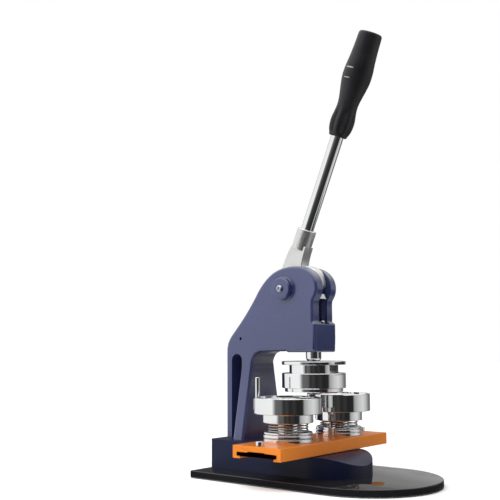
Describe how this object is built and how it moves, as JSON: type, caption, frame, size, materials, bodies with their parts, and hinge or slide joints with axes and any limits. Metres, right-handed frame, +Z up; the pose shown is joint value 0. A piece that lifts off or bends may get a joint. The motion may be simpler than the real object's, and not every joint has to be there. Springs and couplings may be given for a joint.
{
  "type": "button badge maker",
  "caption": "Lever-operated bench press for pin-back badges: C-frame, ram with sprung upper die, cross slide with sprung lower dies, D-shaped base.",
  "frame": {"origin": "on the underside of the anti-slip sheet, straight below the ram's axis", "axes": "+Z up along the ram's axis and the machine's height; -Y towards the rounded front of the base, where the lever is pulled; X along the cross slide, with the near die, which has the upright pin, at -X"},
  "size_m": [0.227, 0.2845, 0.5428],
  "materials": {
    "base_gloss": "high-gloss black laminate board",
    "sheet": "matt anti-slip sheet",
    "blue_paint": "semi-gloss navy enamel on cast metal",
    "orange_anodised": "satin orange anodised extrusion",
    "chrome": "bright turned and plated",
    "steel": "bright zinc-plated steel",
    "spring_steel": "bright spring wire",
    "cast_silver": "satin bead-blasted casting",
    "bronze": "plain bearing bronze",
    "grip_black": "satin black moulded plastic"
  },
  "bodies": {
    "frame": {"base_plate": "base_gloss", "anti_slip_sheet": "sheet", "base_plate_screws": "steel", "foot_casting": "blue_paint", "press_frame": "blue_paint", "frame_bolts": "steel", "guide_rail": "steel", "guide_rail_screws": "steel", "ram_bush": "bronze", "ram_return_spring": "spring_steel", "stroke_stop_screw": "chrome", "pivot_pin": "steel", "pivot_pin_screws": "chrome", "pivot_washer": "steel"},
    "lever": {"lever_casting": "cast_silver", "lever_bush": "bronze", "lever_rod": "chrome", "lever_grip": "grip_black", "lever_set_screw": "steel"},
    "ram": {"ram": "chrome", "ram_pad": "chrome", "upper_die_flange": "chrome", "upper_die_core": "chrome", "upper_die_screw": "steel"},
    "upper_ring": {"upper_die_ring": "chrome", "upper_die_guide_screws": "steel"},
    "slide": {"slide_plate": "orange_anodised", "slide_stop_screws": "chrome", "near_die_base": "chrome", "near_die_core": "chrome", "near_die_screw": "steel", "near_die_spring": "spring_steel", "far_die_base": "chrome", "far_die_core": "chrome", "far_die_screw": "steel", "far_die_spring": "spring_steel"},
    "near_sleeve": {"near_die_sleeve": "chrome", "near_sleeve_pin": "chrome"},
    "far_sleeve": {"far_die_sleeve": "chrome"}
  },
  "joints": [
    {"name": "lever_pull", "type": "hinge", "parent": "frame", "child": "lever", "pos_m": [0, 0.0285, 0.2303], "axis": [1, 0, 0], "range_deg": [0, 43.2]},
    {"name": "slide_travel", "type": "slide", "parent": "frame", "child": "slide", "axis": [1, 0, 0], "range_m": [-0.05375, 0.05375]},
    {"name": "ram_press", "type": "slide", "parent": "frame", "child": "ram", "axis": [0, 0, -1], "range_m": [0, 0.0216], "stiffness_N_per_m": 1800, "springref_m": -0.02, "deforming": ["ram_return_spring"]},
    {"name": "ring_lift", "type": "slide", "parent": "ram", "child": "upper_ring", "axis": [0, 0, 1], "range_m": [0, 0.00965]},
    {"name": "near_sleeve_sink", "type": "slide", "parent": "slide", "child": "near_sleeve", "axis": [0, 0, -1], "range_m": [0, 0.00765], "stiffness_N_per_m": 2500, "springref_m": -0.008, "deforming": ["near_die_spring"]},
    {"name": "far_sleeve_sink", "type": "slide", "parent": "slide", "child": "far_sleeve", "axis": [0, 0, -1], "range_m": [0, 0.00765], "stiffness_N_per_m": 2500, "springref_m": -0.008, "deforming": ["far_die_spring"]}
  ],
  "couplings": [
    {"joint": "ram_press", "follows": "lever_pull", "m_per_rad": 0.0285},
    {"joint": "ring_lift", "follows": "lever_pull", "m_per_rad": 0.012732},
    {"joint": "near_sleeve_sink", "follows": "lever_pull", "m_per_rad": 0.01008},
    {"joint": "far_sleeve_sink", "follows": "lever_pull", "m_per_rad": 0.01008}
  ]
}
